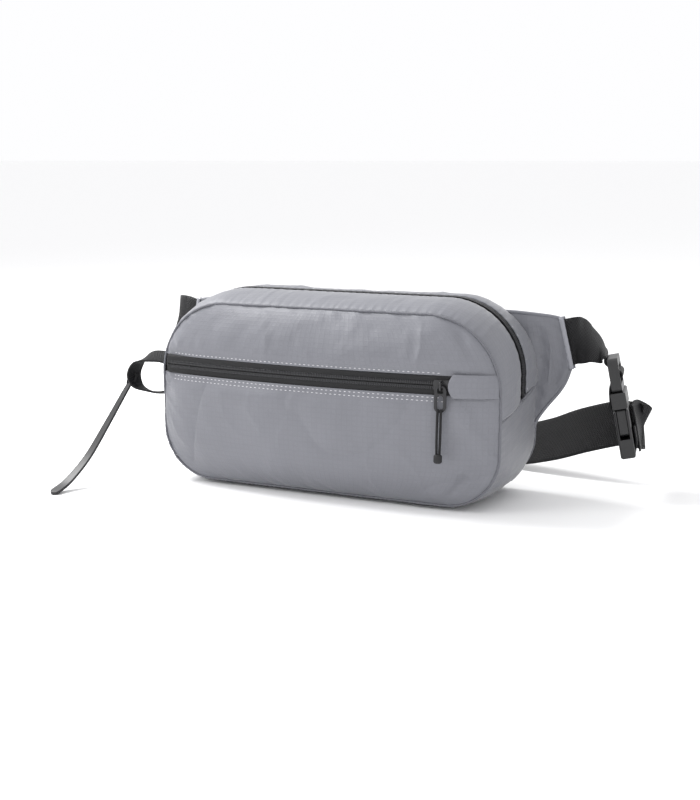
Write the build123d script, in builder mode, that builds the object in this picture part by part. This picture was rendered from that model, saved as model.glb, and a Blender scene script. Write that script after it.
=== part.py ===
"""Waist pack with a zipped front pocket, a zipped main opening, two hip wings and a webbing belt.

Millimetres. +Z is up, +X is the wearer's left-to-right across the front, +Y is towards the wearer.
The origin is the middle of the base, on the surface that the pack stands on.
"""

import os
from math import asin, cos, degrees, radians, sin, sqrt

from build123d import *

# Driving dimensions
BODY_WIDTH = 300.0
BODY_HEIGHT = 162.0
BODY_DEPTH = 90.0
TOP_CORNER_RADIUS = 62.0
BASE_CORNER_RADIUS = 44.0
CLOTH = 1.2  # thickness of the shell cloth
WEBBING_WIDTH = 38.0
WEBBING_THICKNESS = 1.6
RUNNING_GAP = 0.3  # between pieces that move past each other

FRONT_Y = -BODY_DEPTH / 2
BACK_Y = BODY_DEPTH / 2

# Front panel: a surface of revolution about an upright axis behind the pack
FRONT_BULGE = 22.0
PLAN_RADIUS = 900.0
PROFILE_RADIUS = 300.0
PROFILE_CENTRE_Z = 80.0
FRONT_AXIS_Y = FRONT_Y - FRONT_BULGE + PLAN_RADIUS
FRONT_AXIS = Axis((0, FRONT_AXIS_Y, 0), (0, 0, 1))
SWEEP_DEGREES = 24.0
RIM_ROUNDING = 6.0

# Zips
TAPE = 0.8
TAPE_VISIBLE = 15.0
TAPE_HIDDEN = 1.5  # tape that runs under the cloth at each side
COIL_WIDTH = 1.7
COIL_DEPTH = 1.6
MESH_GAP = 1.2  # between the two coils, where the slider's post runs
FRONT_ZIP_Z = 102.0
FRONT_TAPE_RADIUS = 896.0
MAIN_ZIP_Y = 5.0
SIDE_SEAM_Z = 82.0  # the main zip ends here on both sides

# Slider and puller
SLIDER_LENGTH = 13.0
SLIDER_WIDTH = 8.6
PLATE = 1.4
POST = 0.6
BAIL_FOOT = 3.0  # from the slider's middle to each foot of its bail
BAIL_RADIUS = 0.8
BAIL_HEIGHT = 6.9  # from the tape to the bar's middle
PIVOT_DEPTH = 4.4  # from the tape to the puller's top bar
PIVOT_Z = -0.3
REST_ANGLE = 5.0  # degrees that a puller leans out at rest, so that it clears the cloth
PULLER_LENGTH = 21.0
PULLER_WIDTH = 9.4
PULLER_THICKNESS = 1.8
PULLER_EYE = 4.4
PULLER_EYE_WIDTH = 4.6
KNOT_RADIUS = 3.3
CORD_DIAMETER = 2.0
CORD_LENGTH = 36.0
FRONT_SLIDER_X = 107.0
MAIN_SLIDER_Z = BODY_HEIGHT - TOP_CORNER_RADIUS  # where the zip starts to turn over
CURVE_GAP = 0.55  # behind a slider that runs round a curve

# Wings and belt
WING_THICKNESS = 5.0
SEWN_GAP = 0.3
WING_LEAN = 12.0  # degrees that a wing leans back from the plane of the back panel
SLIT_TOP = (170.0, 145.0)
SLIT_BOTTOM = (179.0, 106.0)

# Buckle, in its own frame: X across, Y along the belt from the top, Z through its thickness
BUCKLE_WIDTH = 48.0
BUCKLE_THICKNESS = 12.0
MALE_FRAME = 28.0  # ladder lock
MALE_SHOULDER = 17.0
FEMALE_LENGTH = 37.0
ARM_LENGTH = 22.0
ARM_WIDTH = 5.4
SIDE_WALL = 3.2
BUCKLE_TOP = (207.3, 69.0, 113.9)
BUCKLE_TILT = 11.8  # degrees from upright
BUCKLE_TURN = 12.0  # degrees that its edge turns towards the front right
BUCKLE_TRAVEL = 24.0

# Side loop and pull tab on the left
LOOP_CENTRE_Z = 94.0
LOOP_HEIGHT = 36.0
LOOP_REACH = 27.0
LOOP_THICKNESS = 3.0
LOOP_Y = FRONT_Y + 3.0
TAB_PIVOT = (-181.6, -43.0, 87.0)
TAB_TIP = (-204.0, -135.0, 1.2)
TAB_WIDTH = 9.0
TAB_THICKNESS = 1.2

os.makedirs("parts", exist_ok=True)


def finish(builder, name):
    """Labels a finished piece and writes it as a node."""
    builder.part.label = name
    export_step(builder.part, f"parts/{name}.step")
    return builder.part


def outline(inset, mode=Mode.ADD):
    """The pack's rounded outline, seen from the front, in the sketch that is open."""
    wide, high = BODY_WIDTH - 2 * inset, BODY_HEIGHT - 2 * inset
    soft = Sketch() + RectangleRounded(wide, high, TOP_CORNER_RADIUS - inset, mode=Mode.PRIVATE)
    tight = Sketch() + RectangleRounded(wide, high, BASE_CORNER_RADIUS - inset, mode=Mode.PRIVATE)
    below = Pos(0, -high / 4) * Rectangle(wide, high / 2, mode=Mode.PRIVATE)
    add(Pos(0, BODY_HEIGHT / 2) * (soft + (tight & below)), mode=mode)


def at_y(y):
    """The upright plane at y, looking from the front; extrusions from it run forwards."""
    return Plane.XZ.offset(-y)


def ring(name, front, back, outer, thickness, low=None, high=None):
    """A band round the pack's outline from front to back, kept between two heights."""
    with BuildPart() as band:
        with BuildSketch(at_y(back)):
            outline(outer)
            outline(outer + thickness, mode=Mode.SUBTRACT)
        extrude(amount=back - front)
        if low is not None:
            split(bisect_by=Plane.XY.offset(low), keep=Keep.TOP)
        if high is not None:
            split(bisect_by=Plane.XY.offset(high), keep=Keep.BOTTOM)
    return finish(band, name)


def slab(name, front, back, inset):
    """A flat panel with the pack's outline."""
    with BuildPart() as panel:
        with BuildSketch(at_y(back)):
            outline(inset)
        extrude(amount=back - front)
    return finish(panel, name)


# ---------------------------------------------------------------- gusset, back and seams
tape_front_edge = MAIN_ZIP_Y - TAPE_VISIBLE / 2
tape_back_edge = MAIN_ZIP_Y + TAPE_VISIBLE / 2
ring("gusset_lower", FRONT_Y, BACK_Y, 0, CLOTH, high=SIDE_SEAM_Z)
ring("gusset_front_band", FRONT_Y, tape_front_edge, 0, CLOTH, low=SIDE_SEAM_Z)
ring("gusset_rear_band", tape_back_edge, BACK_Y, 0, CLOTH, low=SIDE_SEAM_Z)

BINDING_WIDTH = 8.0
BINDING = 0.8
binding_inset = CLOTH + 0.2
ring("front_seam_binding", FRONT_Y, FRONT_Y + BINDING_WIDTH, binding_inset, BINDING)
ring("rear_seam_binding", BACK_Y - BINDING_WIDTH, BACK_Y, binding_inset, BINDING)

BACK_CLOTH = 2.0
FOAM = 5.0
FOAM_INSET = 4.0
LINING = 0.6
back_face_y = BACK_Y + BACK_CLOTH
slab("back_panel", BACK_Y, back_face_y, 0)
slab("back_foam_pad", BACK_Y - 0.2 - FOAM, BACK_Y - 0.2, FOAM_INSET)
slab("back_lining", BACK_Y - 0.4 - FOAM - LINING, BACK_Y - 0.4 - FOAM, FOAM_INSET)

# ---------------------------------------------------------------- main zip
main_tape_inset = CLOTH + 0.2
mesh_half = MESH_GAP / 2
main_low = SIDE_SEAM_Z + 0.3
ring(
    "main_zip_tape_front",
    tape_front_edge - TAPE_HIDDEN,
    MAIN_ZIP_Y - mesh_half,
    main_tape_inset,
    TAPE,
    low=main_low,
)
ring(
    "main_zip_tape_rear",
    MAIN_ZIP_Y + mesh_half,
    tape_back_edge + TAPE_HIDDEN,
    main_tape_inset,
    TAPE,
    low=main_low,
)
coil_inset = main_tape_inset + TAPE
for side, name in ((-1, "main_zip_coil_front"), (1, "main_zip_coil_rear")):
    edges = sorted((mesh_half * side, (mesh_half + COIL_WIDTH) * side))
    ring(
        name, MAIN_ZIP_Y + edges[0], MAIN_ZIP_Y + edges[1], coil_inset, COIL_DEPTH, low=main_low
    )

STOP_HEIGHT = 2.0
stop_x = BODY_WIDTH / 2 - main_tape_inset + 0.5
with BuildPart() as main_stops:
    with Locations(
        *[(side * stop_x, MAIN_ZIP_Y, main_low + STOP_HEIGHT / 2) for side in (-1, 1)]
    ):
        Box(0.9, 4.6, STOP_HEIGHT)
finish(main_stops, "main_zip_stops")


# ---------------------------------------------------------------- front panel
def front_solid(depth, inset):
    """The pack's front as one solid, set back by depth and drawn in by inset."""
    radius = PROFILE_RADIUS - depth
    nose = FRONT_Y - FRONT_BULGE + depth
    reach = 95.0
    edge_y = nose + radius - sqrt(radius**2 - reach**2)
    head, foot = (edge_y, PROFILE_CENTRE_Z + reach), (edge_y, PROFILE_CENTRE_Z - reach)
    with BuildPart() as behind:
        with BuildSketch(Plane.YZ):
            with BuildLine():
                ThreePointArc(foot, (nose, PROFILE_CENTRE_Z), head)
                Polyline(head, (60, head[1]), (60, foot[1]), foot)
            make_face()
        revolve(axis=FRONT_AXIS, revolution_arc=SWEEP_DEGREES / 2)
    mirrored = behind.part.mirror(Plane.YZ)
    with BuildPart() as cap:
        with BuildSketch(at_y(FRONT_Y)):
            outline(inset)
        extrude(amount=FRONT_BULGE + 5)
    front = cap.part & (behind.part + mirrored)
    rim = front.faces().sort_by(Axis.Y)[0].edges()
    return front.fillet(RIM_ROUNDING - inset, rim)


front_shell = front_solid(0, 0) - front_solid(CLOTH, CLOTH)
zip_half = TAPE_VISIBLE / 2


def front_piece(name, low, high):
    """The part of the front shell between two heights."""
    with BuildPart() as piece:
        add(front_shell)
        split(bisect_by=Plane.XY.offset(low), keep=Keep.TOP)
        split(bisect_by=Plane.XY.offset(high), keep=Keep.BOTTOM)
    return finish(piece, name)


front_piece("front_panel_lower", -1, FRONT_ZIP_Z - zip_half)
front_piece("front_panel_upper", FRONT_ZIP_Z + zip_half, BODY_HEIGHT + 1)


def zip_arc(name, outer, inner, low, high, start_x, end_x):
    """A strip that follows the front zip's arc, between two radii, heights and X positions."""
    start = degrees(asin(start_x / outer))
    end = degrees(asin(end_x / outer))
    turned = Plane(
        origin=(0, FRONT_AXIS_Y, 0),
        x_dir=(sin(radians(start)), -cos(radians(start)), 0),
        z_dir=(-cos(radians(start)), -sin(radians(start)), 0),
    )
    with BuildPart() as strip:
        with BuildSketch(turned):
            with BuildLine():
                Polyline((inner, low), (outer, low), (outer, high), (inner, high), close=True)
            make_face()
        revolve(axis=FRONT_AXIS, revolution_arc=end - start)
    return finish(strip, name)


ZIP_LEFT_X = -138.0
ZIP_RIGHT_X = 141.0
tape_inner = FRONT_TAPE_RADIUS - TAPE
coil_inner = tape_inner - COIL_DEPTH
zip_arc(
    "front_zip_tape_upper",
    FRONT_TAPE_RADIUS,
    tape_inner,
    FRONT_ZIP_Z + mesh_half,
    FRONT_ZIP_Z + zip_half + TAPE_HIDDEN,
    ZIP_LEFT_X,
    ZIP_RIGHT_X,
)
zip_arc(
    "front_zip_tape_lower",
    FRONT_TAPE_RADIUS,
    tape_inner,
    FRONT_ZIP_Z - zip_half - TAPE_HIDDEN,
    FRONT_ZIP_Z - mesh_half,
    ZIP_LEFT_X,
    ZIP_RIGHT_X,
)
zip_arc(
    "front_zip_coil_upper",
    tape_inner,
    coil_inner,
    FRONT_ZIP_Z + mesh_half,
    FRONT_ZIP_Z + mesh_half + COIL_WIDTH,
    ZIP_LEFT_X,
    ZIP_RIGHT_X,
)
zip_arc(
    "front_zip_coil_lower",
    tape_inner,
    coil_inner,
    FRONT_ZIP_Z - mesh_half - COIL_WIDTH,
    FRONT_ZIP_Z - mesh_half,
    ZIP_LEFT_X,
    ZIP_RIGHT_X,
)
GARAGE_X = 115.5
zip_arc(
    "front_zip_garage",
    FRONT_TAPE_RADIUS + 1.2,
    FRONT_TAPE_RADIUS + 0.2,
    FRONT_ZIP_Z - zip_half + 0.2,
    FRONT_ZIP_Z + zip_half - 0.2,
    GARAGE_X,
    ZIP_RIGHT_X,
)
zip_arc(
    "front_zip_end_stop",
    FRONT_TAPE_RADIUS + 0.8,
    FRONT_TAPE_RADIUS,
    FRONT_ZIP_Z - 2.4,
    FRONT_ZIP_Z + 2.4,
    ZIP_LEFT_X + 2,
    ZIP_LEFT_X + 4,
)
POCKET_RADIUS = 888.0
zip_arc("front_pocket_lining", POCKET_RADIUS, POCKET_RADIUS - LINING, 34, 124, -112, 112)


# ---------------------------------------------------------------- sliders and pullers
def make_slider(prefix, frame, upright):
    """Slider, bail, puller, pull cord and knot. The frame's Y points into the pack from the tape's
    outer face and its Z is up. The slider lies along Z if upright, and along X if not."""
    length, width = (SLIDER_WIDTH, SLIDER_LENGTH) if upright else (SLIDER_LENGTH, SLIDER_WIDTH)
    behind = TAPE + COIL_DEPTH
    post_end = SLIDER_LENGTH / 2 - 2.5
    plate_inside = -RUNNING_GAP - PLATE / 2
    gap_behind = CURVE_GAP if upright else RUNNING_GAP
    plate_behind = behind + gap_behind + PLATE / 2
    post_depth = behind + RUNNING_GAP + gap_behind
    post_middle = (behind + gap_behind - RUNNING_GAP) / 2
    with BuildPart() as body:
        with Locations((0, plate_inside, 0), (0, plate_behind, 0)):
            Box(length, PLATE, width)
        fillet(body.edges().filter_by(Axis.Y), 1.6)
        if upright:
            with Locations((0, post_middle, -post_end)):
                Box(POST, post_depth + 0.2, 3)
        else:
            with Locations((post_end, post_middle, 0)):
                Box(3, post_depth + 0.2, POST)
    body.part.locate(frame)
    finish(body, f"{prefix}_slider_body")

    foot = BAIL_FOOT
    plate_face = RUNNING_GAP + PLATE
    with BuildPart() as bail:
        with BuildLine() as arch:
            FilletPolyline(
                (0, -plate_face, -foot),
                (0, -BAIL_HEIGHT, -foot),
                (0, -BAIL_HEIGHT, foot),
                (0, -plate_face, foot),
                radius=1.4,
            )
        with BuildSketch(Plane(origin=(0, -plate_face, -foot), z_dir=(0, -1, 0))):
            Circle(BAIL_RADIUS)
        sweep(path=arch.wire())
    bail.part.locate(frame)
    finish(bail, f"{prefix}_slider_bail")

    # The puller hangs with its top bar under the bail: an eye, then a long slot for the cord
    top_bar = 0.95
    middle = top_bar - PULLER_LENGTH / 2
    eye_z = -top_bar - PULLER_EYE / 2
    slot_length = PULLER_LENGTH - PULLER_EYE - 2 * top_bar - 3.4
    slot_z = -top_bar - PULLER_EYE - 1.4 - slot_length / 2
    with BuildPart() as puller:
        with BuildSketch(Plane.XZ.offset(-PULLER_THICKNESS / 2)):
            with Locations((0, middle)):
                SlotOverall(PULLER_LENGTH, PULLER_WIDTH, rotation=90)
            with Locations((0, eye_z)):
                RectangleRounded(PULLER_EYE_WIDTH, PULLER_EYE, 1.2, mode=Mode.SUBTRACT)
            with Locations((0, slot_z)):
                SlotOverall(slot_length, PULLER_WIDTH - 4.4, rotation=90, mode=Mode.SUBTRACT)
        extrude(amount=PULLER_THICKNESS)
    lean = Location((0, -PIVOT_DEPTH, PIVOT_Z), (-REST_ANGLE, 0, 0))
    puller.part.locate(frame * lean)
    finish(puller, f"{prefix}_puller")

    bottom = slot_z - slot_length / 2
    for side, name in ((-1, "left"), (1, "right")):
        route = [
            (side * 1.25, -2.2, bottom + 1.0),
            (side * 1.6, -2.1, bottom - CORD_LENGTH * 0.45),
            (side * 1.15, -1.6, bottom - CORD_LENGTH * 0.93),
        ]
        with BuildPart() as cord:
            with BuildLine() as path:
                FilletPolyline(*route, radius=60)
            with BuildSketch(Plane(origin=route[0], z_dir=Vector(*route[1]) - Vector(*route[0]))):
                Circle(CORD_DIAMETER / 2)
            sweep(path=path.wire())
        cord.part.locate(frame * lean)
        finish(cord, f"{prefix}_pull_cord_{name}")

    knot_z = bottom - CORD_LENGTH * 0.93 - 3.7
    with BuildPart() as knot:
        with Locations((0, -1.6, knot_z)):
            Cylinder(KNOT_RADIUS, 7.0)
        fillet(knot.edges(), 1.8)
    knot.part.locate(frame * lean)
    finish(knot, f"{prefix}_pull_knot")


front_angle = asin(FRONT_SLIDER_X / FRONT_TAPE_RADIUS)
front_slider_point = (
    FRONT_TAPE_RADIUS * sin(front_angle),
    FRONT_AXIS_Y - FRONT_TAPE_RADIUS * cos(front_angle),
    FRONT_ZIP_Z,
)
make_slider("front", Location(front_slider_point, (0, 0, degrees(front_angle))), upright=False)
main_slider_point = (-(BODY_WIDTH / 2 - main_tape_inset), MAIN_ZIP_Y, MAIN_SLIDER_Z)
make_slider("main", Location(main_slider_point, (0, 0, -90)), upright=True)

# ---------------------------------------------------------------- wings
slit = Vector(SLIT_BOTTOM[0] - SLIT_TOP[0], SLIT_BOTTOM[1] - SLIT_TOP[1], 0)
slit_angle = degrees(asin(-slit.Y / slit.length))
slit_middle = ((SLIT_TOP[0] + SLIT_BOTTOM[0]) / 2, (SLIT_TOP[1] + SLIT_BOTTOM[1]) / 2)
wing_root = BODY_WIDTH / 2 + SEWN_GAP
wing_hinge = Axis((wing_root, BACK_Y, 0), (0, 0, 1))
WING_OUTLINE = [
    (128.0, 148.0),
    SLIT_TOP,
    SLIT_BOTTOM,
    (173.0, 91.0),
    (159.0, 71.0),
    (150.5, 46.0),
    (128.0, 46.0),
]
SLOT_DEPTH = 16.0
BINDING_BAR = 2.2
with BuildPart() as wing:
    with BuildSketch(at_y(BACK_Y)):
        Polygon(*WING_OUTLINE, align=None)
        outline(-SEWN_GAP, mode=Mode.SUBTRACT)
    extrude(amount=WING_THICKNESS)
    fillet(wing.edges().filter_by(Axis.Y).sort_by(Axis.X)[-2:], 3)
    with BuildSketch(at_y(BACK_Y - WING_THICKNESS / 2 + 1.1)):
        with Locations(slit_middle):
            Rectangle(2 * SLOT_DEPTH, WEBBING_WIDTH + 1.0, rotation=90 - slit_angle)
    extrude(amount=2.2, mode=Mode.SUBTRACT)
with BuildPart() as slit_binding:
    with BuildSketch(at_y(BACK_Y + 0.4)):
        with Locations(slit_middle):
            with Locations(Location((2.5, 0.6, 0))):
                Rectangle(BINDING_BAR, WEBBING_WIDTH + 3.4, rotation=90 - slit_angle)
    extrude(amount=WING_THICKNESS + 0.8)
    with BuildSketch(at_y(BACK_Y - WING_THICKNESS / 2 + 1.1)):
        with Locations(slit_middle):
            Rectangle(2 * SLOT_DEPTH, WEBBING_WIDTH + 1.0, rotation=90 - slit_angle)
    extrude(amount=2.2, mode=Mode.SUBTRACT)
for builder, name in ((wing, "wing"), (slit_binding, "wing_slit_binding")):
    right = builder.part.rotate(wing_hinge, WING_LEAN)
    for part, side in ((right, "right"), (right.mirror(Plane.YZ), "left")):
        part.label = f"{name}_{side}"
        export_step(part, f"parts/{part.label}.step")


# ---------------------------------------------------------------- belt webbing
def ribbon(name, stations, width=WEBBING_WIDTH, thickness=WEBBING_THICKNESS):
    """A strap through stations, each a middle point and the direction of the strap's width."""
    points = [Vector(*point) for point, _ in stations]
    with BuildPart() as strap:
        for index, (point, across) in enumerate(stations):
            before = points[max(index - 1, 0)]
            after = points[min(index + 1, len(points) - 1)]
            tangent = (after - before).normalized()
            across = Vector(*across)
            across = (across - tangent * across.dot(tangent)).normalized()
            with BuildSketch(Plane(origin=points[index], x_dir=across, z_dir=tangent)):
                Rectangle(width, thickness)
        loft(ruled=True)
    return finish(strap, name)


tilt = radians(BUCKLE_TILT)
turn = radians(BUCKLE_TURN)
buckle_down = Vector(sin(tilt), 0, -cos(tilt))
buckle_across = Vector(sin(turn), -cos(turn), 0)
buckle_across = (buckle_across - buckle_down * buckle_across.dot(buckle_down)).normalized()
buckle_out = buckle_across.cross(buckle_down)
slit_up = (-0.22, -0.05, 0.975)
ribbon(
    "strap_short",
    [
        ((163.0, 45.1, 123.2), slit_up),
        ((174.5, 47.58, 125.9), slit_up),
        ((182.5, 49.3, 127.8), slit_up),
        ((188.2, 54.6, 127.2), (-0.33, 0.32, 0.89)),
        ((193.0, 60.2, 124.4), (-0.33, 0.62, 0.71)),
        ((197.0, 65.0, 120.4), (-0.25, 0.88, 0.40)),
        ((200.9, 67.0, 119.2), (-0.21, 0.96, 0.15)),
        ((203.1, 68.0, 118.4), (-0.20, 0.98, 0.04)),
    ],
)
slit_up = (0.22, -0.05, 0.975)
ribbon(
    "strap_long",
    [
        ((-163.0, 45.1, 123.2), slit_up),
        ((-174.5, 47.58, 125.9), slit_up),
        ((-186.5, 50.1, 128.7), slit_up),
        ((-199.0, 56.5, 126.0), (0.24, 0.06, 0.96)),
        ((-209.0, 78.0, 104.0), (0.10, 0.30, 0.94)),
        ((-207.0, 102.0, 78.0), (-0.10, 0.45, 0.88)),
        ((-192.0, 124.0, 50.0), (-0.25, 0.42, 0.86)),
        ((-162.0, 138.0, 27.5), (-0.15, 0.40, 0.90)),
        ((-120.0, 144.0, 19.8), (-0.03, 0.30, 0.95)),
        ((-60.0, 145.0, 18.9), (0, 0.30, 0.95)),
        ((0.0, 142.0, 18.6), (0, 0.34, 0.94)),
        ((60.0, 134.0, 18.4), (0, 0.38, 0.92)),
        ((110.0, 122.0, 21.0), (0.02, 0.45, 0.89)),
        ((145.0, 113.0, 30.0), (-0.02, 0.38, 0.92)),
        ((175.0, 105.5, 42.0), (-0.05, 0.20, 0.97)),
        ((202.0, 101.0, 51.0), (-0.03, 0.06, 0.99)),
        ((212.0, 100.0, 52.8), (0, 0.02, 1)),
    ],
)

# The end of the long strap turns back and is sewn round the lower half's bar
ribbon(
    "strap_long_end",
    [
        ((214.0, 99.8, 53.0), (0, 0.02, 1)),
        ((221.5, 97.5, 53.4), (0.02, 0.05, 1)),
        ((229.5, 92.8, 52.6), (0.08, 0.15, 1)),
        ((235.0, 86.0, 50.4), (0.12, 0.45, 0.88)),
        ((238.1, 78.0, 46.9), (0.05, 0.85, 0.50)),
        ((237.8, 73.0, 44.4), (-0.08, 0.98, 0.15)),
        ((235.5, 69.8, 42.8), (-0.19, 0.98, 0)),
    ],
    width=WEBBING_WIDTH - 6,
)

# ---------------------------------------------------------------- buckle
buckle_place = Location(Plane(origin=BUCKLE_TOP, x_dir=buckle_across, z_dir=buckle_out))
male_end = MALE_FRAME + MALE_SHOULDER
down = 1  # the buckle's length runs along its plane's Y
BAR = 4.0
with BuildPart() as male:
    with BuildSketch():
        with Locations((0, down * MALE_FRAME / 2)):
            RectangleRounded(BUCKLE_WIDTH, MALE_FRAME, 5)
        with Locations((0, down * 9.0), (0, down * 19.0)):
            Rectangle(WEBBING_WIDTH + 2, 5.2, mode=Mode.SUBTRACT)
    extrude(amount=4.2, both=True)
    with BuildSketch():
        with Locations((0, down * (MALE_FRAME + MALE_SHOULDER / 2 - 2))):
            Rectangle(BUCKLE_WIDTH, MALE_SHOULDER - 4)
    extrude(amount=BUCKLE_THICKNESS / 2, both=True)
    with BuildSketch():
        with Locations((0, down * (male_end - 4 + (ARM_LENGTH - 2) / 2))):
            Rectangle(7, ARM_LENGTH - 2)
    extrude(amount=2.2, both=True)
    fillet(male.edges().filter_by(lambda e: e.length > 45), 1.6)
male.part.locate(buckle_place)
finish(male, "buckle_male")

arm_root = male_end - 4 + RUNNING_GAP
arm_x = BUCKLE_WIDTH / 2 - SIDE_WALL - RUNNING_GAP * 2 - ARM_WIDTH / 2 + 2.2
for side, name in ((1, "front"), (-1, "rear")):
    with BuildPart() as arm:
        with BuildSketch():
            with Locations((side * arm_x, down * (arm_root + ARM_LENGTH / 2))):
                SlotOverall(ARM_LENGTH, ARM_WIDTH, rotation=90)
        extrude(amount=3.4, both=True)
    arm.part.locate(buckle_place)
    finish(arm, f"buckle_arm_{name}")

female_start = male_end - 3.4
female_end = male_end + FEMALE_LENGTH
WINDOW_LENGTH = 19.0
CAVITY_LENGTH = ARM_LENGTH + 2.5
with BuildPart() as female:
    with BuildSketch():
        with Locations((0, down * (female_start + female_end) / 2)):
            RectangleRounded(BUCKLE_WIDTH, female_end - female_start, 3)
    extrude(amount=BUCKLE_THICKNESS / 2, both=True)
    fillet(female.edges().filter_by(lambda e: e.length > 25), 2.0)
    with BuildSketch():
        with Locations((0, down * (female_start + CAVITY_LENGTH / 2 - 0.5))):
            Rectangle(BUCKLE_WIDTH + 2, CAVITY_LENGTH + 1)
    extrude(amount=4.0, both=True, mode=Mode.SUBTRACT)
    with BuildSketch():
        with Locations((0, down * (female_end - 6.0))):
            Rectangle(WEBBING_WIDTH + 1.5, 4.6)
    extrude(amount=BUCKLE_THICKNESS, both=True, mode=Mode.SUBTRACT)
female.part.locate(buckle_place)
finish(female, "buckle_female")

# ---------------------------------------------------------------- side loop and pull tab
loop_root = -BODY_WIDTH / 2 - 0.2
with BuildPart() as side_loop:
    with BuildSketch(at_y(LOOP_Y + LOOP_THICKNESS / 2)) as loop_shape:
        with Locations((loop_root - LOOP_REACH / 2, LOOP_CENTRE_Z)):
            Rectangle(LOOP_REACH, LOOP_HEIGHT)
        fillet(loop_shape.vertices().group_by(Axis.X)[0], 13)
        with Locations((loop_root - LOOP_REACH / 2 + 3, LOOP_CENTRE_Z)):
            SlotOverall(15, 7.6, mode=Mode.SUBTRACT)
    extrude(amount=LOOP_THICKNESS)
finish(side_loop, "side_loop")

pivot, tip = Vector(*TAB_PIVOT), Vector(*TAB_TIP)
run = tip - pivot
across_tab = Vector(0, 0, 1).cross(run).normalized()
TAB_CORD = 2.0
TAB_CORD_LENGTH = 14.0
strap_start = pivot + run.normalized() * TAB_CORD_LENGTH
sag = Vector(0, 0, -14)
quarter = [strap_start + (tip - strap_start) * share for share in (0, 0.25, 0.5, 0.75, 1)]
drop = [0, 0.7, 1.0, 0.78, 0]
tab_route = [point + sag * share for point, share in zip(quarter, drop)]
ribbon(
    "pull_tab",
    [(tuple(point), tuple(across_tab)) for point in tab_route],
    width=TAB_WIDTH,
    thickness=TAB_THICKNESS,
)
with BuildPart() as tab_cord:
    with BuildLine() as tab_path:
        Line(tuple(pivot + run.normalized() * 1.5), tuple(strap_start - run.normalized() * 0.3))
    with BuildSketch(Plane(origin=tab_path.wire() @ 0, z_dir=run)):
        Circle(TAB_CORD / 2)
    sweep(path=tab_path.wire())
finish(tab_cord, "pull_tab_cord")
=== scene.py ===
from math import cos, pi, radians, sin

import bpy
import numpy as np
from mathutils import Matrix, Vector


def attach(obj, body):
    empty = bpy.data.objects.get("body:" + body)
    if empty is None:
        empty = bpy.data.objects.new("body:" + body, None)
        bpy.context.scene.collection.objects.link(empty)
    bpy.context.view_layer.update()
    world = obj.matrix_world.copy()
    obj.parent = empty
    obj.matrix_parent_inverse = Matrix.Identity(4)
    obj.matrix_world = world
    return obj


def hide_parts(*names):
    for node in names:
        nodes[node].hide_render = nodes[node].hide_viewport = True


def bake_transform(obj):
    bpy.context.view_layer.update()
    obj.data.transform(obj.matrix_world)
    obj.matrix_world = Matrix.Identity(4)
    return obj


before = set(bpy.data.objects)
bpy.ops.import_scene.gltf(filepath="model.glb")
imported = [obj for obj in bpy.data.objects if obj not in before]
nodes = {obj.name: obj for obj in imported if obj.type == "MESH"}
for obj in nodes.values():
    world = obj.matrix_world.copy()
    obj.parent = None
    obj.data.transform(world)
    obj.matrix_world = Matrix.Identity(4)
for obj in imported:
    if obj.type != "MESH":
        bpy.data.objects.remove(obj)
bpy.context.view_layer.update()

MM = 0.001


# ------------------------------------------------------------------ helpers
def noise2(u, v, seed=0.0):
    """Smooth seeded noise from -1 to 1."""
    u, v = np.asarray(u, float), np.asarray(v, float)
    i, j = np.floor(u), np.floor(v)
    a, b = u - i, v - j
    a, b = a * a * (3 - 2 * a), b * b * (3 - 2 * b)

    def at(p, q):
        return np.modf(np.abs(np.sin(p * 127.1 + q * 311.7 + seed * 74.7) * 43758.5453))[0]

    low = at(i, j) * (1 - a) + at(i + 1, j) * a
    high = at(i, j + 1) * (1 - a) + at(i + 1, j + 1) * a
    return (low * (1 - b) + high * b) * 2 - 1


def ridge(u, v, seed=0.0, sharp=3.0):
    """Thin raised lines, from 0 to 1."""
    return (1 - np.abs(noise2(u, v, seed))) ** sharp


def own(obj, body, material=None, replaces=()):
    """Gives a piece its material and body, and says which CAD nodes it stands for."""
    if material is not None:
        obj.data.materials.clear()
        obj.data.materials.append(material)
    if body:
        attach(obj, body)
    if replaces:
        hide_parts(*replaces)
    return obj


def dress(material, *names):
    """Gives CAD nodes that are shown as they are their material."""
    for name in names:
        nodes[name].data.materials.clear()
        nodes[name].data.materials.append(material)


def new_mesh(name, verts, faces):
    mesh = bpy.data.meshes.new(name)
    mesh.from_pydata([tuple(v) for v in verts], [], [tuple(f) for f in faces])
    mesh.update()
    mesh.polygons.foreach_set("use_smooth", [True] * len(mesh.polygons))
    obj = bpy.data.objects.new(name, mesh)
    bpy.context.scene.collection.objects.link(obj)
    return obj


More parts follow.
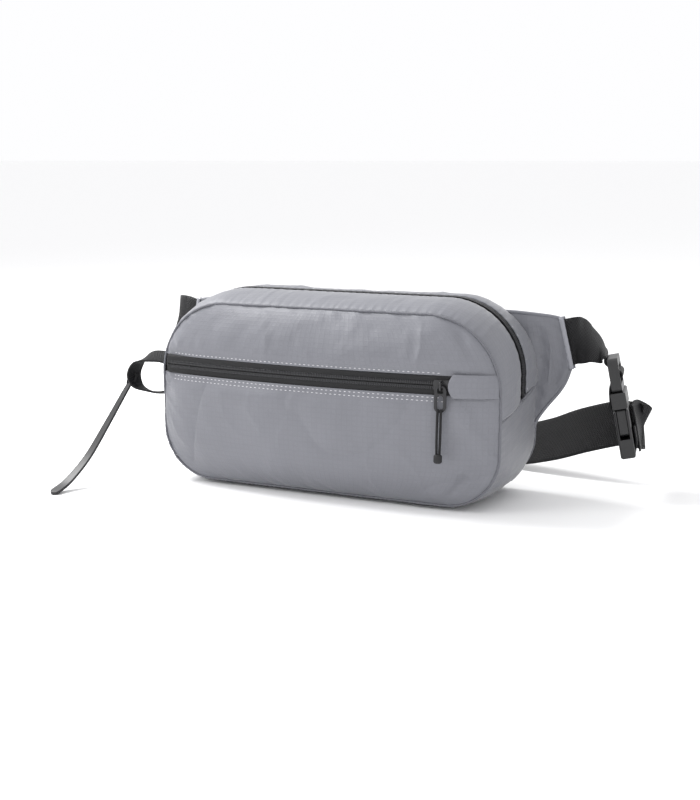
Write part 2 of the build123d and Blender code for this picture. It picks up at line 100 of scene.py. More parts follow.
def grid(name, points, body, material, thick=0.0, replaces=(), close=False, offset=-1.0):
    """A surface through rows of points in mm, with UVs in metres along and across it."""
    p = np.asarray(points, float) * MM
    n, m, _ = p.shape
    rows = np.arange(n if close else n - 1)[:, None]
    cols = np.arange(m - 1)[None, :]
    a, b = rows * m + cols, ((rows + 1) % n) * m + cols
    faces = np.stack([a, b, b + 1, a + 1], -1).reshape(-1, 4)
    obj = new_mesh(name, p.reshape(-1, 3), faces)
    ring = np.concatenate([p, p[:1]]) if close else p
    along = np.concatenate([[0], np.cumsum(np.linalg.norm(np.diff(ring, axis=0), axis=2).mean(1))])
    across = np.concatenate([[0], np.cumsum(np.linalg.norm(np.diff(p, axis=1), axis=2).mean(0))])
    r, c = rows + 0 * cols, cols + 0 * rows
    u = np.stack([along[r], along[r + 1], along[r + 1], along[r]], -1)
    v = np.stack([across[c], across[c], across[c + 1], across[c + 1]], -1)
    layer = obj.data.uv_layers.new(name="UVMap")
    layer.data.foreach_set("uv", np.stack([u, v], -1).reshape(-1))
    if thick:
        solid = obj.modifiers.new("thickness", "SOLIDIFY")
        solid.thickness = thick * MM
        solid.offset = offset
    return own(obj, body, material, replaces)


def spline(points, count):
    """Points along a smooth curve through the given ones."""
    p = np.asarray(points, float)
    p = np.concatenate([[2 * p[0] - p[1]], p, [2 * p[-1] - p[-2]]])
    s = np.linspace(0, len(p) - 3 - 1e-9, count)
    k = s.astype(int)
    t = (s - k)[:, None]
    a, b, c, d = p[k], p[k + 1], p[k + 2], p[k + 3]
    return 0.5 * (
        2 * b + (c - a) * t + (2 * a - 5 * b + 4 * c - d) * t**2 + (3 * b - a - 3 * c + d) * t**3
    )


def tube(name, line, radius, body, material, sides=8, replaces=(), closed=False):
    """A round strip along points in mm."""
    line = np.asarray(line, float)
    if closed:
        tangent = np.roll(line, -1, 0) - np.roll(line, 1, 0)
    else:
        tangent = np.gradient(line, axis=0)
    tangent /= np.linalg.norm(tangent, axis=1)[:, None]
    side = np.cross(tangent, [0.13, 0.21, 0.97])
    side /= np.linalg.norm(side, axis=1)[:, None]
    up = np.cross(side, tangent)
    angle = np.linspace(0, 2 * pi, sides + 1)
    r = np.broadcast_to(np.asarray(radius, float), len(line))[:, None, None]
    points = (
        line[:, None]
        + r * np.cos(angle)[None, :, None] * side[:, None]
        + r * np.sin(angle)[None, :, None] * up[:, None]
    )
    return grid(name, points, body, material, replaces=replaces, close=closed)


def webbing(name, stations, body, material, width=38.0, thick=1.6, count=160, cup=0.6, replaces=()):
    """A woven strap through (middle, direction of its width) stations, in mm."""
    middle = spline([s[0] for s in stations], count)
    across = spline([s[1] for s in stations], count)
    tangent = np.gradient(middle, axis=0)
    tangent /= np.linalg.norm(tangent, axis=1)[:, None]
    across -= tangent * (across * tangent).sum(1)[:, None]
    across /= np.linalg.norm(across, axis=1)[:, None]
    normal = np.cross(tangent, across)
    w = np.broadcast_to(np.asarray(width, float), count)[:, None, None]
    t = np.linspace(-0.5, 0.5, 13)[None, :, None]
    bow = cup * (4 * t * t - 0.5) * np.sin(np.linspace(0, 9, count))[:, None, None]
    points = middle[:, None] + across[:, None] * w * t + normal[:, None] * bow
    return grid(name, points, body, material, thick=thick, replaces=replaces, offset=0.0)


def stitches(name, line, normal, body, material, long=2.3, gap=1.5, radius=0.38):
    """A row of thread stitches that lie on a line in mm."""
    line, normal = np.asarray(line, float), np.asarray(normal, float)
    step = np.linalg.norm(np.diff(line, axis=0), axis=1)
    run = np.concatenate([[0], np.cumsum(step)])
    starts = np.arange(0.5, run[-1] - long, long + gap)
    verts, faces = [], []
    shape = [(-0.5, 0.2), (-0.3, 0.9), (0.0, 1.0), (0.3, 0.9), (0.5, 0.2)]
    for start in starts:
        ends = [np.array([np.interp(start + k, run, line[:, c]) for c in range(3)]) for k in (0, long)]
        n = np.array([np.interp(start, run, normal[:, c]) for c in range(3)])
        d = ends[1] - ends[0]
        side = np.cross(d, n)
        side /= np.linalg.norm(side) + 1e-9
        base = len(verts)
        for place, size in shape:
            centre = (ends[0] + ends[1]) / 2 + d * place + n * radius * (0.4 * size - 0.1)
            for k in range(6):
                a = k * pi / 3
                verts.append((centre + radius * size * (side * cos(a) + n * sin(a))) * MM)
        for i in range(len(shape) - 1):
            for k in range(6):
                p, q = base + i * 6 + k, base + i * 6 + (k + 1) % 6
                faces.append((p, q, q + 6, p + 6))
        faces.append(tuple(base + k for k in range(6)))
        faces.append(tuple(base + 24 + k for k in reversed(range(6))))
    return own(new_mesh(name, verts, faces), body, material)


# ------------------------------------------------------------------ materials
def material(
    name, slot, color, rough=0.6, weave=None, rip=None, depth=0.15, tone=0.08, sheen=0.0, spec=0.5,
    grain=None, rip_tone=0.1,
):
    """A procedural material; weave and rip are thread spacings in metres on the UVs."""
    mat = bpy.data.materials.new(name)
    mat.use_nodes = True
    mat["slot"] = slot
    tree = mat.node_tree
    make, link = tree.nodes.new, tree.links.new
    shader = tree.nodes["Principled BSDF"]
    shader.inputs["Roughness"].default_value = rough
    shader.inputs["Specular IOR Level"].default_value = spec
    if sheen:
        shader.inputs["Sheen Weight"].default_value = sheen
        shader.inputs["Sheen Roughness"].default_value = 0.4
    coords = make("ShaderNodeTexCoord")

    def calc(kind, a, b=None):
        n = make("ShaderNodeMath")
        n.operation = kind
        for socket, value in zip(n.inputs, (a, b)):
            if value is None:
                continue
            if isinstance(value, (int, float)):
                socket.default_value = value
            else:
                link(value, socket)
        return n.outputs[0]

    cloud = make("ShaderNodeTexNoise")
    cloud.inputs["Scale"].default_value = 28
    cloud.inputs["Detail"].default_value = 4
    link(coords.outputs["Object"], cloud.inputs["Vector"])
    value = calc("ADD", 1 - tone, calc("MULTIPLY", cloud.outputs["Fac"], 2 * tone))
    height = None
    if weave or rip:
        parts = make("ShaderNodeSeparateXYZ")
        link(coords.outputs["UV"], parts.inputs[0])
        u, v = parts.outputs[0], parts.outputs[1]
    if weave:
        wu, wv = weave
        a = calc("SINE", calc("MULTIPLY", u, 2 * pi / wu))
        b = calc("SINE", calc("MULTIPLY", v, 2 * pi / wv))
        height = calc("ADD", calc("MULTIPLY", calc("MULTIPLY", a, b), 0.5), 0.5)
        value = calc("MULTIPLY", value, calc("ADD", 0.93, calc("MULTIPLY", height, 0.14)))
    if rip:
        lines = []
        for s in (u, v):
            wave = calc("ABSOLUTE", calc("COSINE", calc("MULTIPLY", s, pi / rip)))
            lines.append(calc("POWER", wave, 24))
        web = calc("MAXIMUM", *lines)
        value = calc("MULTIPLY", value, calc("SUBTRACT", 1.015, calc("MULTIPLY", web, rip_tone)))
        height = calc("ADD", calc("MULTIPLY", height, 0.4), web) if height else web
    if grain:
        fine = make("ShaderNodeTexNoise")
        fine.inputs["Scale"].default_value = grain
        fine.inputs["Detail"].default_value = 3
        link(coords.outputs["Object"], fine.inputs["Vector"])
        extra = calc("MULTIPLY", fine.outputs["Fac"], 0.6)
        height = calc("ADD", height, extra) if height else extra
    mix = make("ShaderNodeMix")
    mix.data_type = "RGBA"
    mix.blend_type = "MULTIPLY"
    mix.inputs[0].default_value = 1.0
    mix.inputs[6].default_value = (*color, 1)
    grey = make("ShaderNodeCombineColor")
    for k in range(3):
        link(value, grey.inputs[k])
    link(grey.outputs[0], mix.inputs[7])
    link(mix.outputs[2], shader.inputs["Base Color"])
    if height is not None:
        bump = make("ShaderNodeBump")
        bump.inputs["Strength"].default_value = depth
        bump.inputs["Distance"].default_value = 0.0004
        link(height, bump.inputs["Height"])
        link(bump.outputs[0], shader.inputs["Normal"])
    return mat


GREY = (0.158, 0.161, 0.181)
WING_GREY = (0.15, 0.153, 0.172)
CLOTH_WEAVE = (0.0009, 0.0009)
EDGE_WEAVE = (0.0008, 0.0008)
RIPSTOP_PITCH = 0.0042
shell = material(
    "ripstop", "shell_cloth", GREY, 0.5, CLOTH_WEAVE, RIPSTOP_PITCH, 0.22, 0.06, 0.2, 0.45, rip_tone=0.035
)
wing_cloth = material(
    "wing_ripstop", "wing_cloth", WING_GREY, 0.5, CLOTH_WEAVE, RIPSTOP_PITCH, 0.22, 0.08, 0.2, 0.45,
    rip_tone=0.035,
)
shell_dark = material(
    "ripstop_edge", "seam_binding", (0.12, 0.122, 0.14), 0.6, EDGE_WEAVE, depth=0.3, tone=0.1, sheen=0.2
)
pale_edge = material("folded_edge", "wing_binding", (0.26, 0.264, 0.292), 0.6, EDGE_WEAVE, depth=0.3)
mesh_cloth = material(
    "back_mesh", "shell_cloth", (0.10, 0.10, 0.115), 0.8, (0.0025, 0.0025), depth=0.9, tone=0.1, sheen=0.2
)
tape = material("zip_tape", "zip_tape", (0.004, 0.004, 0.005), 0.75, (0.0009, 0.0016), depth=0.5, tone=0.12)
coil = material("zip_coil", "zip_coil", (0.016, 0.016, 0.019), 0.3, grain=900, depth=0.1, tone=0.15)
thread = material("white_thread", "shell_cloth", (0.62, 0.62, 0.64), 0.7, grain=2500, depth=0.4)
grey_thread = material("grey_thread", "shell_cloth", (0.17, 0.17, 0.19), 0.7, grain=2500, depth=0.4)
web_black = material(
    "webbing", "webbing", (0.006, 0.006, 0.007), 0.5, (0.0016, 0.0032), depth=1.6, tone=0.25, spec=0.28
)
plastic = material(
    "acetal", "buckle_plastic", (0.012, 0.012, 0.013), 0.4, grain=1600, depth=0.12, tone=0.06
)
metal = material(
    "slider_black", "slider_metal", (0.014, 0.014, 0.016), 0.32, grain=700, depth=0.08, tone=0.1
)
braid = material("braid", "pull_cord", (0.007, 0.007, 0.008), 0.7, (0.0012, 0.0012), depth=1.0, tone=0.15)
tab_soft = material(
    "soft_plastic", "tab_rubber", (0.010, 0.010, 0.011), 0.42, grain=1300, depth=0.15, tone=0.08
)

# ------------------------------------------------------------------ the pack's shape, in mm
AXIS_Y, TAPE_R = 833.0, 896.0  # the front zip's tape lies on this arc
ZIP_Z, MAIN_Y = 102.0, 5.0  # the height of the front zip and the depth of the main zip
TOP_R, LOW_R = 60.0, 44.0  # corners seen from the front
HALF, DEEP = 150.0, 45.0  # half the body's width and depth at its seams
FRONT_LOW, FRONT_HIGH = 5.0, 154.0
BACK_LOW, BACK_HIGH, BACK_HALF = 4.2, 156.5, 150.4
ZIP_EDGE = 7.5  # from the middle of a zip to the edge of the cloth beside it
LOW_SIDE, HIGH_SIDE = 83.0, 86.0  # where the main zip and its stitches end at the sides


def crown(y):
    """How full the gusset is at a depth: 1 in its middle, 0 near the seams."""
    return 1 - ((y - 5.0) / 50.0) ** 2


def width(y):
    return 2 * HALF + 3.0 * crown(y)


def top(y):
    return FRONT_HIGH + 9.0 * crown(y)


def base(y):
    return FRONT_LOW * (y / DEEP) ** 2


def side_seam(y):
    """The height of the slanting seam at each side."""
    return 76.0 + 18.0 * (y + DEEP) / (2 * DEEP)


def over(w, z_top, r, z_side, count):
    """From the right side at z_side over the top to the left side: x, z and the outward normal."""
    side, arc, flat = z_top - r - z_side, pi * r / 2, w - 2 * r
    s = np.linspace(0, 1, count) * (2 * side + 2 * arc + flat)
    x, z, nx, nz = (np.zeros(len(s)) for _ in range(4))
    for k, d in enumerate(s):
        left = d > side + arc + flat / 2
        e = 2 * side + 2 * arc + flat - d if left else d
        if e < side:
            px, pz, qx, qz = w / 2, z_side + e, 1.0, 0.0
        elif e < side + arc:
            a = (e - side) / r
            px, pz, qx, qz = w / 2 - r + r * cos(a), z_top - r + r * sin(a), cos(a), sin(a)
        else:
            px, pz, qx, qz = w / 2 - r - (e - side - arc), z_top, 0.0, 1.0
        flip = -1 if left else 1
        x[k], z[k], nx[k], nz[k] = flip * px, pz, flip * qx, qz
    return x, z, nx, nz


def folds(a, b, seed):
    """Soft folds and fine creases in cloth, in mm, on distances in mm."""
    return (
        1.1 * noise2(a / 46, b / 30, seed)
        + 0.55 * noise2(a / 17, b / 21, seed + 1)
        + 0.8 * ridge(a / 33 + 0.4 * noise2(a / 25, b / 25, seed + 4), b / 70, seed + 2, 6)
        + 0.2 * noise2(a / 6, b / 7, seed + 3)
    )


def band(name, y0, y1, count, rows, lower, replaces, puff, seed):
    """Part of the gusset from y0 to y1, above or below the slanting side seam."""
    points = []
    for k, y in enumerate(np.linspace(y0, y1, rows)):
        if lower:
            x, z, nx, nz = over(width(y), -base(y), LOW_R, -side_seam(y), count)
            z, nz = -z, -nz
        else:
            x, z, nx, nz = over(width(y), top(y), TOP_R, side_seam(y), count)
        run = np.linspace(0, 1, count) * (560 if lower else 480)
        t = k / (rows - 1)
        edge = np.sqrt(np.clip(1 - (2 * t - 1) ** 2, 0, 1))
        tuck = np.exp(-min(t, 1 - t) * (y1 - y0) / 5.0)
        zip_side = (1 - t if "rear" in name else t) if not lower else 0.0
        out = puff * edge * (1 - 0.75 * zip_side**3)
        out = out + folds(run, np.full(count, y), seed) * 0.8 * edge
        ripple = np.sin(run * 2 * pi / 8.5 + 2 * noise2(run / 20, 0 * run, seed))
        out += 0.45 * tuck * (0.25 + edge) * ripple
        if lower:
            out = np.where(nz < -0.6, np.minimum(out, 0.2), out)
        p = np.stack([x + nx * out, np.full(count, y), z + nz * out], 1)
        p[:, 2] = np.maximum(p[:, 2], 0.05)
        points.append(p)
    return grid(name, points, "pack", shell, thick=0.9, replaces=replaces, offset=1.0)


band("shell_top_front", -DEEP, MAIN_Y - ZIP_EDGE, 260, 26, False, ["gusset_front_band"], 1.6, 3.0)
band("shell_top_rear", MAIN_Y + ZIP_EDGE, DEEP, 260, 22, False, ["gusset_rear_band"], 1.4, 8.0)
band("shell_lower", -DEEP, DEEP, 300, 44, True, ["gusset_lower"], 1.2, 13.0)


def outline_xz(half_w, z0, z1, count):
    """A closed rounded outline seen from the front."""
    pts = []
    for cx, cz, start, r in (
        (half_w - TOP_R, z1 - TOP_R, 0.0, TOP_R),
        (-half_w + TOP_R, z1 - TOP_R, pi / 2, TOP_R),
        (-half_w + LOW_R, z0 + LOW_R, pi, LOW_R),
        (half_w - LOW_R, z0 + LOW_R, 1.5 * pi, LOW_R),
    ):
        pts += [(cx + r * cos(start + a), cz + r * sin(start + a)) for a in np.linspace(0, pi / 2, 24)]
    pts = np.array(pts + pts[:1])
    run = np.concatenate([[0], np.cumsum(np.linalg.norm(np.diff(pts, axis=0), axis=1))])
    s = np.linspace(0, run[-1], count, endpoint=False)
    return np.stack([np.interp(s, run, pts[:, k]) for k in (0, 1)], 1), s


def rim_distance(x, z, half=HALF, z0=FRONT_LOW, z1=FRONT_HIGH):
    """How far a point is inside the rounded outline."""
    x, z = np.asarray(x, float), np.asarray(z, float)
    r = np.where(z > (z0 + z1) / 2, TOP_R, LOW_R)
    qx = np.abs(x) - (half - r)
    qz = np.abs(z - (z0 + z1) / 2) - ((z1 - z0) / 2 - r)
    outside = np.hypot(np.maximum(qx, 0), np.maximum(qz, 0))
    return r - outside - np.minimum(np.maximum(qx, qz), 0)


def front_y(x, z, wrinkle=1.0):
    """The front panel's surface."""
    near = np.abs(z - ZIP_Z) - ZIP_EDGE
    r = 900.0 - (z - 80.0) ** 2 / 600.0 - 2.4 * np.exp(-((near / 8.0) ** 2))
    flat = AXIS_Y - np.sqrt(r * r - x * x)
    d = rim_distance(x, z)
    t = np.clip(d / 34.0, 0, 1)
    g = np.clip(1 - (1 - t) ** 2.4, 0, 1) ** 0.72
    hold = np.clip(d / 12, 0, 1) * np.clip(near / 10, 0.12, 1)
    upper = np.clip((z - 104) / 12, 0, 1)
    lower = 1 - upper
    out = folds(x, z, 21.0) * hold * (0.9 + 0.7 * upper)
    slant = (x + 0.9 * z) / 38.0 + 0.35 * noise2(x / 40, z / 22, 53.0)
    out += 3.2 * upper * hold * ridge(slant, (z - 0.3 * x) / 90, 51.0, 4)
    out -= 1.9 * lower * hold * ridge((x - 0.5 * z) / 55.0, z / 90, 57.0, 7)
    out += 1.6 * np.exp(-(((x - 127) / 11) ** 2)) * np.sin(z / 6.0 + x / 9 + 0.5) * hold * lower
    out -= 2.2 * np.exp(-(((x - 122 + (z - 135) * 0.6) / 4.5) ** 2 + ((z - 134) / 12) ** 2))
    out -= 1.8 * np.exp(-(((x - 118 - (z - 22) * 0.8) / 4.0) ** 2 + ((z - 24) / 12) ** 2))
    pucker = 2.6 * np.exp(-d / 7.0) * noise2((x + 1.3 * z) / 6.5, d / 16, 5)
    return -DEEP + (flat + DEEP) * g - wrinkle * out - 0.5 * pucker * np.clip(d / 2.5, 0, 1)


def row_half(z, z0, z1, half):
    """Half the outline's width at a height."""
    r = TOP_R if z > (z0 + z1) / 2 else LOW_R
    e = max(z0 + r - z, z - (z1 - r), 0.0)
    return half - r + np.sqrt(max(r**2 - e**2, 0))


def front_patch(name, z0, z1, rows, cols, replaces):
    """The front panel between two heights, with its points closer together at the rim."""
    s = np.sin(np.linspace(-pi / 2, pi / 2, cols)) * 0.35 + np.linspace(-1, 1, cols) * 0.65
    t = np.linspace(0, 1, rows)
    t = t if z0 > FRONT_LOW + 1 else t**1.15
    points = []
    for z in z0 + (z1 - z0) * t:
        x = s * float(row_half(z, FRONT_LOW, FRONT_HIGH, HALF))
        zz = np.full(cols, z)
        points.append(np.stack([x, front_y(x, zz), zz], 1))
    return grid(name, points, "pack", shell, thick=1.0, replaces=replaces, offset=1.0)


front_patch("shell_front_lower", FRONT_LOW, ZIP_Z - ZIP_EDGE, 96, 260, ["front_panel_lower"])
front_patch("shell_front_upper", ZIP_Z + ZIP_EDGE, FRONT_HIGH, 56, 260, ["front_panel_upper"])

# Seams: a sewn ridge round the front and the rear
for name, y, z0, z1, half, replaced in (
    ("front_seam", -45.4, FRONT_LOW - 0.4, FRONT_HIGH + 0.4, 150.4, "front_seam_binding"),
    ("rear_seam", 45.2, BACK_LOW, BACK_HIGH, 150.6, "rear_seam_binding"),
):
    loop, run = outline_xz(half, z0, z1, 420)
    wave = 0.5 * noise2(run / 5, 0 * run, 3) + 0.5 * noise2(run / 25, 0 * run, 2)
    line = np.stack([loop[:, 0], y + wave, np.maximum(loop[:, 1], 1.6)], 1)
    tube(name, line, 0.95 + 0.12 * np.sin(run * 2 * pi / 4.2), "pack", shell_dark, 8, [replaced], True)

# The slanting seam on each side
for sign, name in ((1, "right"), (-1, "left")):
    y = np.linspace(-DEEP, DEEP, 60)
    puff = 1.3 * np.sqrt(np.clip(1 - (y / (DEEP + 1)) ** 2, 0, 1)) + 0.5
    line = np.stack([sign * (width(y) / 2 + puff), y, side_seam(y)], 1)
    tube(f"side_seam_{name}", line, 0.6, "pack", shell_dark, 8)
    outwards = np.tile([float(sign), 0, 0], (60, 1))
    below = line - [0, 0, 2.6]
    stitches(f"side_stitch_{name}", below, outwards, "pack", grey_thread, 1.9, 1.8, 0.3)


# ------------------------------------------------------------------ zips
def arc_point(x, z, out):
    """A point on the front zip's arc, out from the tape, and its outward normal."""
    x = np.asarray(x, float)
    a = np.arcsin(x / TAPE_R)
    r = TAPE_R + out
    p = np.stack([r * np.sin(a), AXIS_Y - r * np.cos(a), np.full_like(x, z)], -1)
    return p, np.stack([np.sin(a), -np.cos(a), 0 * a], -1)


def teeth(name, places, body, material, replaces):
    """Rows of small rounded teeth: (middle, along, across, out) in mm."""
    verts, faces = [], []
    ring = [(-0.5, -0.3), (-0.5, 0.25), (-0.3, 0.5), (0.3, 0.5), (0.5, 0.25), (0.5, -0.3)]
    for middle, along, across, out in places:
        base_i = len(verts)
        for end, size in ((-0.5, 0.6), (-0.34, 1.0), (0.34, 1.0), (0.5, 0.6)):
            for p, q in ring:
                verts.append((middle + across * end + along * p * size + out * q * size) * MM)
        for i in range(3):
            for k in range(6):
                p, q = base_i + i * 6 + k, base_i + i * 6 + (k + 1) % 6
                faces.append((p, q, q + 6, p + 6))
        faces.append(tuple(base_i + k for k in reversed(range(6))))
        faces.append(tuple(base_i + 18 + k for k in range(6)))
    return own(new_mesh(name, verts, faces), body, material, replaces)


xs = np.linspace(-143, 121, 180)
for side, half in ((1, "upper"), (-1, "lower")):
    rows = []
    for step in np.linspace(0.25, 9.3, 12):
        lift = 0.9 * np.exp(-((step - 0.6) / 2.2) ** 2) + 0.25
        p, _ = arc_point(xs, ZIP_Z + side * step, lift)
        p[:, 1] = np.maximum(p[:, 1], front_y(p[:, 0], p[:, 2], 0.0) + (1.3 if step > 7.6 else -9))
        rows.append(p)
    grid(f"front_tape_{half}", rows, "pack", tape, thick=0.7, offset=0.0,
         replaces=[f"front_zip_tape_{half}"])
    places = []
    for x in np.arange(-138, 112, 1.45):
        p, n = arc_point([x + (0.72 if side > 0 else 0)], ZIP_Z + side * 1.75, 0.95)
        places.append((p[0], np.array([1.05, 0, 0]), np.array([0.12, 0, 2.7 * side]), n[0] * 1.3))
    teeth(f"front_teeth_{half}", places, "pack", coil, [f"front_zip_coil_{half}"])
    # One row of stitches above the zip and two below it
    for row, far, end in ((0, 9.4, 107), (1, 12.2, 109))[: 1 if side > 0 else 2]:
        sx = np.linspace(-136, end, 200)
        sz = np.full_like(sx, ZIP_Z + side * far)
        line = np.stack([sx, front_y(sx, sz) - 0.1, sz], 1)
        n = np.tile([0, -1.0, 0], (200, 1))
        stitches(f"front_stitch_{half}_{row}", line, n, "pack", thread, 1.9, 2.1, 0.3)

# The flap that covers the end of the front zip
FLAP_START, FLAP_END, FLAP_HALF = 113.0, 149.2, 9.0
gz = np.linspace(-FLAP_HALF, FLAP_HALF, 22)
rows = []
for t in np.linspace(0, 1, 26):
    x = FLAP_START + 3.4 * (np.abs(gz) / FLAP_HALF) ** 2 * (1 - t) + t * (FLAP_END - FLAP_START)
    z = ZIP_Z + gz
    low = front_y(x, 0 * z + ZIP_Z - FLAP_HALF, 0.3)
    high = front_y(x, 0 * z + ZIP_Z + FLAP_HALF, 0.3)
    share = (gz + FLAP_HALF) / (2 * FLAP_HALF)
    rest = np.clip((149.5 - x) / 14.0, 0, 1)
    y = low + (high - low) * share - rest * (1.6 + 1.4 * (1 - (2 * share - 1) ** 2) * np.exp(-t * 2))
    y -= 0.5 * rest * noise2(x / 7, z / 9, 61)
    rows.append(np.stack([x, y, z], 1))
grid("zip_garage_flap", rows, "pack", shell, thick=0.8, replaces=["front_zip_garage"], offset=1.0)
z = ZIP_Z + np.linspace(-8.5, 8.5, 60)
x = 116.5 - 2.6 * (1 - np.linspace(-1, 1, 60) ** 2)
line = np.stack([x, front_y(x, z, 0.3) - 1.3, z], 1)
facing = np.tile([0.1, -1.0, 0], (60, 1))
stitches("garage_edge_stitch", line, facing, "pack", thread, 1.9, 1.7, 0.3)

# Main zip, over the top and down both sides
for side, half in ((-1, "front"), (1, "rear")):
    rows = []
    for step in np.linspace(0.25, 9.2, 11):
        y = MAIN_Y + side * step
        x, z, nx, nz = over(width(MAIN_Y), top(MAIN_Y), TOP_R, LOW_SIDE, 260)
        out = -1.0 + 0.8 * np.exp(-((step - 0.6) / 2.2) ** 2)
        rows.append(np.stack([x + nx * out, np.full(260, y), z + nz * out], 1))
    grid(f"main_tape_{half}", rows, "pack", tape, thick=0.7, offset=0.0,
         replaces=[f"main_zip_tape_{half}"])
    places = []
    count = 330
    x, z, nx, nz = over(width(MAIN_Y), top(MAIN_Y), TOP_R, LOW_SIDE + 0.5, count)
    for k in range(count):
        out = np.array([nx[k], 0, nz[k]])
        along = np.array([-nz[k], 0, nx[k]])
        middle = np.array([x[k], MAIN_Y + side * 1.75, z[k]]) + out * 0.55
        middle = middle + along * (0.7 if side > 0 else 0)
        places.append((middle, along * 1.05, np.array([0, 2.7 * side, 0]), out * 1.3))
    teeth(f"main_teeth_{half}", places, "pack", coil, [f"main_zip_coil_{half}"])
    y = MAIN_Y + side * 9.6
    x, z, nx, nz = over(width(y), top(y), TOP_R, HIGH_SIDE, 300)
    n = np.stack([nx, 0 * nx, nz], 1)
    line = np.stack([x, np.full(300, y), z], 1) + n * 0.75
    stitches(f"main_stitch_{half}", line, n, "pack", thread, 1.9, 2.1, 0.3)

dress(
    metal, "front_slider_body", "front_slider_bail", "main_slider_body", "main_slider_bail",
    "front_puller", "main_puller", "main_zip_stops", "front_zip_end_stop",
)
dress(braid, "front_pull_knot", "main_pull_knot")


# ------------------------------------------------------------------ back panel
rows = []
for z in np.linspace(BACK_LOW, BACK_HIGH, 90):
    x = np.linspace(-1, 1, 150) * float(row_half(z, BACK_LOW, BACK_HIGH, BACK_HALF))
    zz = np.full(150, z)
    d = rim_distance(x, zz, BACK_HALF, BACK_LOW, BACK_HIGH)
    puff = 4.2 * np.clip(d / 16, 0, 1) ** 0.6
    groove = sum(np.exp(-(((np.abs(x) - c) / 2.6) ** 2)) for c in (32.0, 92.0)) * np.clip(d / 14, 0, 1)
    y = 44.2 + puff - 2.6 * groove + 0.35 * noise2(x / 22, zz / 22, 31)
    rows.append(np.stack([x, y, zz], 1))
back = grid("back_pad", rows, "pack", mesh_cloth, thick=1.0, replaces=["back_panel"], offset=0.0)
dress(shell_dark, "back_foam_pad", "back_lining", "front_pocket_lining")


# ------------------------------------------------------------------ wings
def wing_y(x):
    """The middle of a wing, which leans backwards."""
    return 42.6 + (x - 150.0) * 0.2126


LOWER_EDGE = [(147.5, 46), (152, 60), (159.5, 72), (169.5, 85), (174.5, 94), (178.7, 106.5)]
UPPER_EDGE = [(121.0, 150), (133, 149.5), (145, 148.5), (155, 147.5), (163, 146.5), (170.3, 144.8)]
SLIT = np.array([[179.3, 106.0], [170.3, 145.0]])
for side, name in ((1, "right"), (-1, "left")):
    low, high = spline(LOWER_EDGE, 50), spline(UPPER_EDGE, 50)
    for face, sign in (("outer", -1), ("inner", 1)):
        rows = []
        for k in range(50):
            v = np.linspace(0, 1, 44)
            x = low[k, 0] + (high[k, 0] - low[k, 0]) * v
            z = low[k, 1] + (high[k, 1] - low[k, 1]) * v
            u = k / 49
            edge = np.clip(np.minimum(v, 1 - v) * 9, 0, 1) ** 0.5
            gather = np.exp(-(((z - 108) / 45) ** 2))
            pleat = 2.6 * np.sin(x * 0.42 + 1.6 * np.sin(z / 24) + side) * gather
            crumple = 2.6 * noise2(x / 9, z / 30, 41 + side) + 1.3 * noise2((x + z) / 7, z / 14, 44)
            lift = (2.1 + 0.5 * pleat + 0.45 * crumple) * edge * (1 - 0.25 * u)
            y = wing_y(x) + sign * lift + 0.7 * pleat * edge
            rows.append(np.stack([side * x, y, z], 1))
        piece = grid(f"wing_{name}_{face}", rows, "pack", wing_cloth, thick=0.7,
                     replaces=[f"wing_{name}"] if face == "outer" else (), offset=0.0)
    hem = np.concatenate([low, high[::-1]])
    hem = np.stack([side * hem[:, 0], wing_y(hem[:, 0]), hem[:, 1]], 1)
    tube(f"wing_{name}_hem", hem[:50], 1.5, "pack", wing_cloth, 8)
    tube(f"wing_{name}_hem_top", hem[50:], 1.5, "pack", wing_cloth, 8)
    for face, sign in (("outer", -1), ("inner", 1)):
        rows = []
        for t in np.linspace(-0.04, 1.04, 30):
            x, z = SLIT[0] + (SLIT[1] - SLIT[0]) * t
            row = []
            for w in np.linspace(-1, 1, 7):
                px, pz = x + 1.7 * w * 0.97, z + 1.7 * w * 0.22
                lift = 2.4 + 0.7 * (1 - w * w) + 0.2 * sin(t * 40)
                row.append((side * px, wing_y(px) + sign * lift, pz))
            rows.append(row)
        grid(f"slit_binding_{name}_{face}", rows, "pack", pale_edge, thick=0.8,
             replaces=[f"wing_slit_binding_{name}"] if face == "outer" else (), offset=0.0)


# ------------------------------------------------------------------ belt
slit_up = (-0.22, -0.05, 0.975)
turn, tilt = radians(12.0), radians(11.8)
down = np.array([sin(tilt), 0, -cos(tilt)])
across = np.array([sin(turn), -cos(turn), 0])
across -= down * across.dot(down)
across /= np.linalg.norm(across)
outward = np.cross(across, down)
buckle_top = np.array([207.3, 69.0, 113.9])
short_stations = [
    ((163.0, 45.1, 123.2), slit_up),
    ((174.5, 47.58, 125.9), slit_up),
    ((182.5, 49.3, 127.8), slit_up),
    ((188.2, 54.6, 127.2), (-0.33, 0.32, 0.89)),
    ((193.0, 60.2, 124.4), (-0.33, 0.62, 0.71)),
    ((197.2, 65.5, 120.8), (-0.25, 0.88, 0.40)),
]
